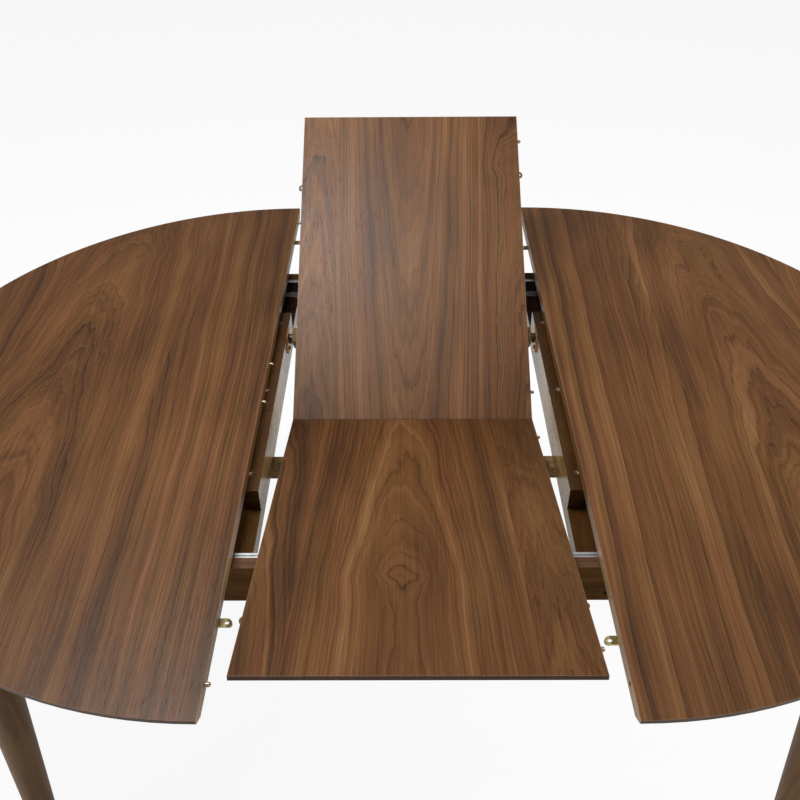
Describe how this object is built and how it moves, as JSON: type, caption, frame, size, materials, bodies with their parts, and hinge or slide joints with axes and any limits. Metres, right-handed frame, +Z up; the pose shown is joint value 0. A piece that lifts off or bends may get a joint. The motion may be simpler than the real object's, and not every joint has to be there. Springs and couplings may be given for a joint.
{
  "type": "butterfly leaf table",
  "caption": "Round walnut dining table drawn apart, with a folding butterfly leaf half raised in the gap between its two half tops.",
  "frame": {"origin": "on the floor under the middle of the open table", "axes": "+Z up, X along the way the half tops slide, -Y the front edge that faces the viewer"},
  "size_m": [1.6738, 1.2, 0.9822],
  "materials": {
    "walnut_veneer": "satin lacquered walnut veneer",
    "stained_wood": "dark stained, matt lacquer",
    "pale_wood": "unstained, clear lacquer",
    "walnut_leg": "stained and satin lacquered",
    "brass": "brass plated",
    "copper_plate": "copper plated",
    "screw_steel": "zinc plated",
    "slide_steel": "zinc plated steel strip",
    "glide_plastic": "moulded nylon",
    "felt": "self-adhesive felt"
  },
  "bodies": {
    "carriage": {"apron_front": "stained_wood", "apron_back": "stained_wood", "slide_channel_front": "slide_steel", "slide_channel_back": "slide_steel", "rail_board_left": "stained_wood", "rail_board_right": "stained_wood", "rail_batten_left": "stained_wood", "rail_batten_right": "stained_wood", "pivot_bracket_left": "copper_plate", "pivot_bracket_right": "copper_plate", "rest_bar": "pale_wood", "rest_bar_felt": "felt", "batten_screws": "screw_steel", "frame_screws": "screw_steel", "hardware_screws": "screw_steel"},
    "back_leaf": {"back_leaf_panel": "walnut_veneer", "pivot_bar": "pale_wood", "pivot_bar_screws": "screw_steel", "pivot_pins": "screw_steel", "pivot_spacers": "copper_plate", "hinge_barrels_back": "brass", "leaf_pins_back": "brass", "latch_keepers_back": "brass", "keeper_screws_back": "screw_steel"},
    "hinge_links": {"hinge_links": "brass"},
    "front_leaf": {"front_leaf_panel": "walnut_veneer", "hinge_barrels_front": "brass", "leaf_pins_front": "brass", "latch_keepers_front": "brass", "keeper_screws_front": "screw_steel"},
    "left_half": {"half_top_left": "walnut_veneer", "alignment_pins_left": "brass", "latch_tongues_left": "brass", "latch_screws_left": "screw_steel", "end_apron_left": "stained_wood", "leg_front_left": "walnut_leg", "leg_back_left": "walnut_leg", "leg_blocks_left": "pale_wood", "leg_bolts_left": "screw_steel", "foot_glides_left": "glide_plastic", "slide_rail_front_left": "slide_steel", "slide_rail_back_left": "slide_steel", "slide_brackets_left": "slide_steel", "slide_bracket_screws_left": "screw_steel"},
    "left_ball_cages": {"ball_cages_left": "slide_steel"},
    "right_half": {"half_top_right": "walnut_veneer", "latch_tongues_right": "brass", "latch_screws_right": "screw_steel", "end_apron_right": "stained_wood", "leg_front_right": "walnut_leg", "leg_back_right": "walnut_leg", "leg_blocks_right": "pale_wood", "leg_bolts_right": "screw_steel", "foot_glides_right": "glide_plastic", "slide_rail_front_right": "slide_steel", "slide_rail_back_right": "slide_steel", "slide_brackets_right": "slide_steel", "slide_bracket_screws_right": "screw_steel"},
    "right_ball_cages": {"ball_cages_right": "slide_steel"}
  },
  "joints": [
    {"name": "left_half_slide", "type": "slide", "parent": "carriage", "child": "left_half", "axis": [-1, 0, 0], "range_m": [-0.0265, 0]},
    {"name": "right_half_slide", "type": "slide", "parent": "carriage", "child": "right_half", "axis": [1, 0, 0], "range_m": [-0.0265, 0]},
    {"name": "left_cage_slide", "type": "slide", "parent": "carriage", "child": "left_ball_cages", "axis": [-1, 0, 0], "range_m": [-0.01325, 0]},
    {"name": "right_cage_slide", "type": "slide", "parent": "carriage", "child": "right_ball_cages", "axis": [1, 0, 0], "range_m": [-0.01325, 0]},
    {"name": "leaf_pivot", "type": "hinge", "parent": "carriage", "child": "back_leaf", "pos_m": [0, 0.1615, 0.715], "axis": [1, 0, 0], "range_deg": [-32.84, 0]},
    {"name": "hinge_link_turn", "type": "hinge", "parent": "back_leaf", "child": "hinge_links", "pos_m": [0, 0.00669, 0.65704], "axis": [-1, 0, 0], "range_deg": [-46.42, 0]},
    {"name": "leaf_fold", "type": "hinge", "parent": "hinge_links", "child": "front_leaf", "pos_m": [0, 0.00669, 0.65704], "axis": [-1, 0, 0], "range_deg": [0, 133.58]}
  ],
  "couplings": [
    {"joint": "left_cage_slide", "follows": "left_half_slide", "ratio": 0.5},
    {"joint": "right_cage_slide", "follows": "right_half_slide", "ratio": 0.5},
    {"joint": "hinge_link_turn", "follows": "leaf_pivot", "ratio": 1.4136}
  ]
}
